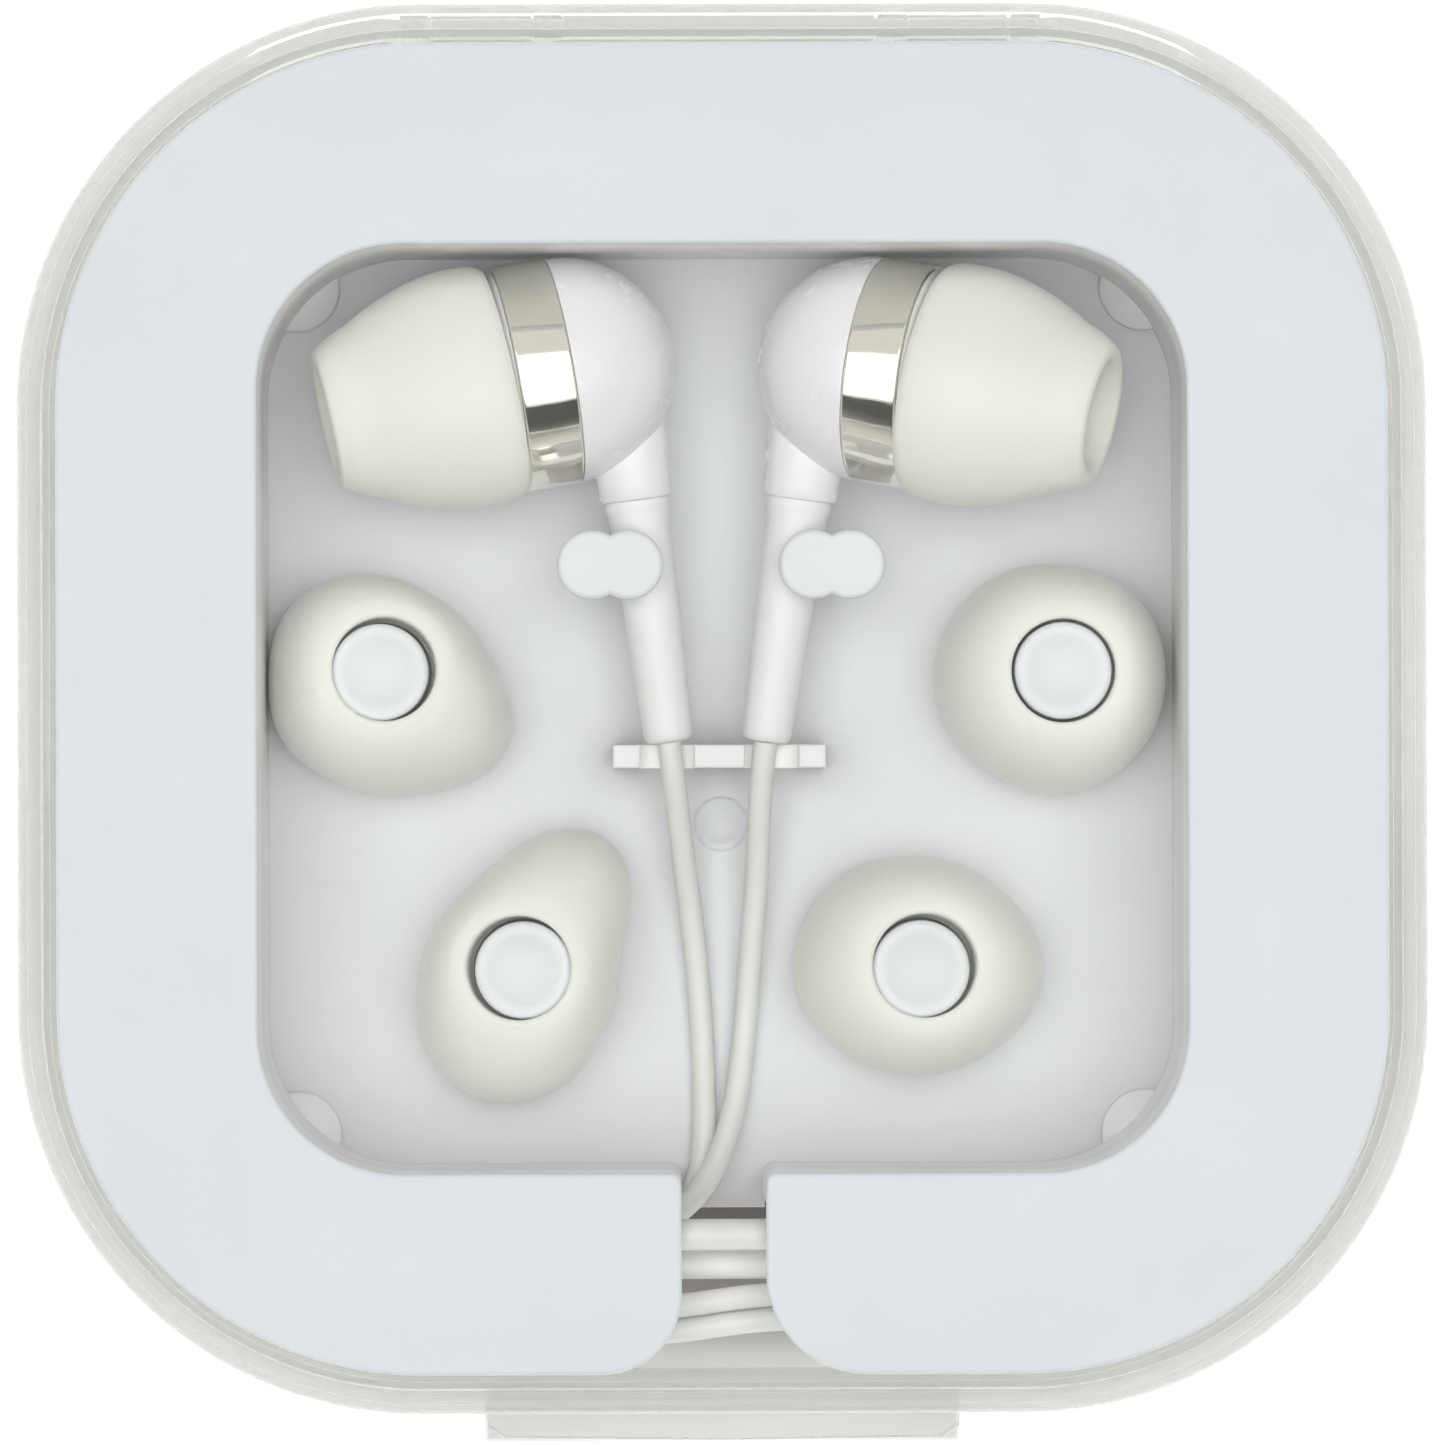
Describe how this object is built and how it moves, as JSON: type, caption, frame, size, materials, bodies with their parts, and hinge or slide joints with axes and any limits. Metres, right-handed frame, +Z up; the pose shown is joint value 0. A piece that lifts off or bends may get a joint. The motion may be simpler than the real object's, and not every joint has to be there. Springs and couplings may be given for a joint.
{
  "type": "cased in-ear earphones",
  "caption": "White wired in-ear earphones with chrome rings, wound on a tray with spare ear tips inside a clear hinged rounded-square case.",
  "frame": {"origin": "middle of the case's underside, on the centre of the 70 mm square without the tab", "axes": "+X right, +Y towards the hinge side, +Z up through the lid"},
  "size_m": [0.07, 0.0718, 0.022],
  "materials": {
    "clear_shell": "polished clear moulded polystyrene",
    "tray_plastic": "fine satin moulding, cool white",
    "housing_plastic": "polished white moulding",
    "soft_moulding": "soft white moulding, satin",
    "chrome_ring": "bright plated trim",
    "silicone_tip": "matt translucent silicone, warm off-white",
    "cord_jacket": "soft satin jacket, off-white",
    "jack_metal": "polished nickel plate",
    "insulator_black": "black insulating resin",
    "driver_plastic": "dark moulding",
    "driver_steel": "plated pressed steel",
    "magnet_metal": "nickel-plated sintered magnet",
    "coil_wire": "enamelled copper wire",
    "diaphragm_film": "thin polymer film",
    "mesh_steel": "fine woven stainless mesh",
    "felt_disc": "pale damping felt",
    "board_laminate": "green laminate"
  },
  "bodies": {
    "case": {"case_base": "clear_shell", "insert_tray": "tray_plastic", "left_rear_shell": "housing_plastic", "right_rear_shell": "housing_plastic", "left_trim_ring": "chrome_ring", "right_trim_ring": "chrome_ring", "left_nozzle_housing": "housing_plastic", "right_nozzle_housing": "housing_plastic", "left_strain_relief": "soft_moulding", "right_strain_relief": "soft_moulding", "left_driver_frame": "driver_plastic", "right_driver_frame": "driver_plastic", "left_driver_yoke": "driver_steel", "right_driver_yoke": "driver_steel", "left_driver_magnet": "magnet_metal", "right_driver_magnet": "magnet_metal", "left_pole_plate": "driver_steel", "right_pole_plate": "driver_steel", "left_voice_coil": "coil_wire", "right_voice_coil": "coil_wire", "left_diaphragm": "diaphragm_film", "right_diaphragm": "diaphragm_film", "left_nozzle_mesh": "mesh_steel", "right_nozzle_mesh": "mesh_steel", "left_damping_felt": "felt_disc", "right_damping_felt": "felt_disc", "left_terminal_board": "board_laminate", "right_terminal_board": "board_laminate", "left_cord": "cord_jacket", "right_cord": "cord_jacket", "main_cord": "cord_jacket", "cable_winding": "cord_jacket", "cable_splitter": "housing_plastic", "plug_body": "housing_plastic", "plug_sleeve": "jack_metal", "plug_ring": "jack_metal", "plug_tip": "jack_metal", "plug_insulators": "insulator_black"},
    "lid": {"case_lid": "clear_shell"},
    "left_tip": {"left_ear_tip": "silicone_tip"},
    "right_tip": {"right_ear_tip": "silicone_tip"},
    "upper_left_spare": {"spare_tip_upper_left": "silicone_tip"},
    "upper_right_spare": {"spare_tip_upper_right": "silicone_tip"},
    "lower_left_spare": {"spare_tip_lower_left": "silicone_tip"},
    "lower_right_spare": {"spare_tip_lower_right": "silicone_tip"}
  },
  "joints": [
    {"name": "lid_hinge", "type": "hinge", "parent": "case", "child": "lid", "pos_m": [0, 0.0336, 0.012], "axis": [-1, 0, 0], "range_deg": [0, 105]},
    {"name": "left_tip_turn", "type": "hinge", "parent": "case", "child": "left_tip", "pos_m": [-0.00794, 0.0172, 0.0102], "axis": [-0.9794, -0.1727, 0.1045], "continuous": true},
    {"name": "right_tip_turn", "type": "hinge", "parent": "case", "child": "right_tip", "pos_m": [0.0076, 0.0172, 0.0102], "axis": [0.9548, -0.1461, 0.2588], "continuous": true},
    {"name": "upper_left_tip_lift", "type": "slide", "parent": "case", "child": "upper_left_spare", "axis": [0, 0, 1], "range_m": [0, 0.0062]},
    {"name": "upper_right_tip_lift", "type": "slide", "parent": "case", "child": "upper_right_spare", "axis": [0, 0, 1], "range_m": [0, 0.0062]},
    {"name": "lower_left_tip_lift", "type": "slide", "parent": "case", "child": "lower_left_spare", "axis": [0, 0, 1], "range_m": [0, 0.0062]},
    {"name": "lower_right_tip_lift", "type": "slide", "parent": "case", "child": "lower_right_spare", "axis": [0, 0, 1], "range_m": [0, 0.0062]}
  ]
}
